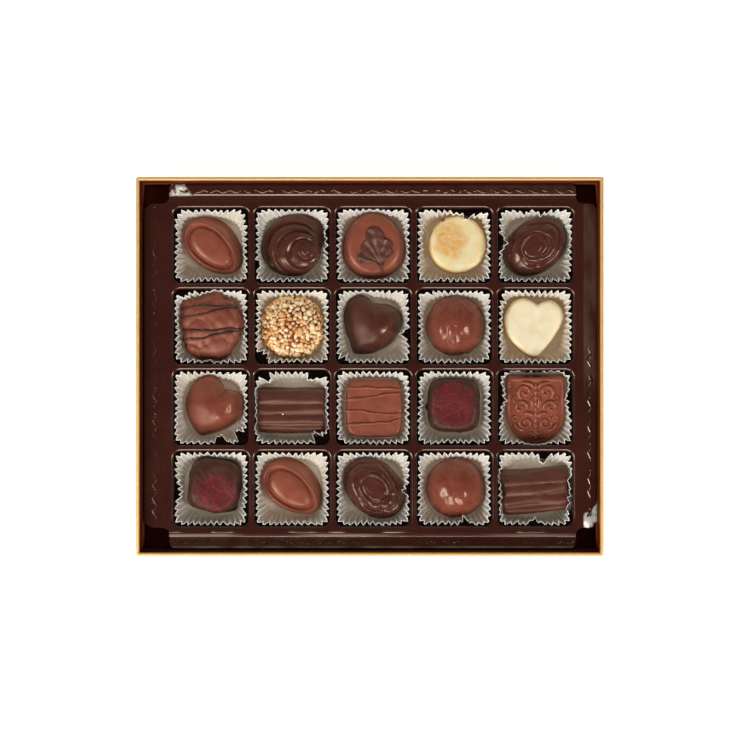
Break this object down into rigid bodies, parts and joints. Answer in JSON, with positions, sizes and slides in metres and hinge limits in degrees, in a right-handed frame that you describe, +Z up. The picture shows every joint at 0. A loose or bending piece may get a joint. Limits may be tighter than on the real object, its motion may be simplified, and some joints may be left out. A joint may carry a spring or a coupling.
{
  "type": "box of chocolate pralines",
  "caption": "Open shallow gold card box with a formed tray whose square wells each hold a pleated paper cup with a milk, dark or white chocolate praline.",
  "frame": {"origin": "middle of the box's underside", "axes": "+X along the box's length, +Y to its far side, +Z up"},
  "size_m": [0.211, 0.171, 0.03],
  "materials": {
    "gold_card": "board wrapped in satin gold paper, dark maroon-brown inside the walls",
    "tray_plastic": "thin thermoformed dark brown sheet, glossy",
    "cup_paper": "pleated greaseproof paper, grey-white",
    "milk_chocolate": "milk chocolate, satin to glossy",
    "dark_chocolate": "dark chocolate, glossy",
    "white_chocolate": "white chocolate, satin",
    "chopped_nut": "chopped roasted nuts, matt",
    "berry_dusted_chocolate": "dark chocolate dusted with red fruit powder, matt"
  },
  "bodies": {
    "root": {"box": "gold_card", "button_r1c4": "white_chocolate", "cluster_r2c1": "milk_chocolate", "crest_r3c5": "milk_chocolate", "cup_r1c1": "cup_paper", "cup_r1c2": "cup_paper", "cup_r1c3": "cup_paper", "cup_r1c4": "cup_paper", "cup_r1c5": "cup_paper", "cup_r2c1": "cup_paper", "cup_r2c2": "cup_paper", "cup_r2c3": "cup_paper", "cup_r2c4": "cup_paper", "cup_r2c5": "cup_paper", "cup_r3c1": "cup_paper", "cup_r3c2": "cup_paper", "cup_r3c3": "cup_paper", "cup_r3c4": "cup_paper", "cup_r3c5": "cup_paper", "cup_r4c1": "cup_paper", "cup_r4c2": "cup_paper", "cup_r4c3": "cup_paper", "cup_r4c4": "cup_paper", "cup_r4c5": "cup_paper", "dome_r2c4": "milk_chocolate", "dome_r4c4": "milk_chocolate", "drizzle_square_r3c3": "milk_chocolate", "heart_dark_r2c3": "dark_chocolate", "heart_ivory_r2c5": "white_chocolate", "heart_milk_r3c1": "milk_chocolate", "leaf": "dark_chocolate", "leaf_egg_r1c3": "milk_chocolate", "log_r3c2": "dark_chocolate", "log_r4c5": "dark_chocolate", "nut_dome_r2c2": "chopped_nut", "oval_r1c1": "milk_chocolate", "oval_r4c2": "milk_chocolate", "powder_square_r3c4": "berry_dusted_chocolate", "powder_square_r4c1": "berry_dusted_chocolate", "snail_r1c2": "dark_chocolate", "tray": "tray_plastic", "whorl_r1c5": "dark_chocolate", "whorl_r4c3": "dark_chocolate"}
  },
  "joints": []
}
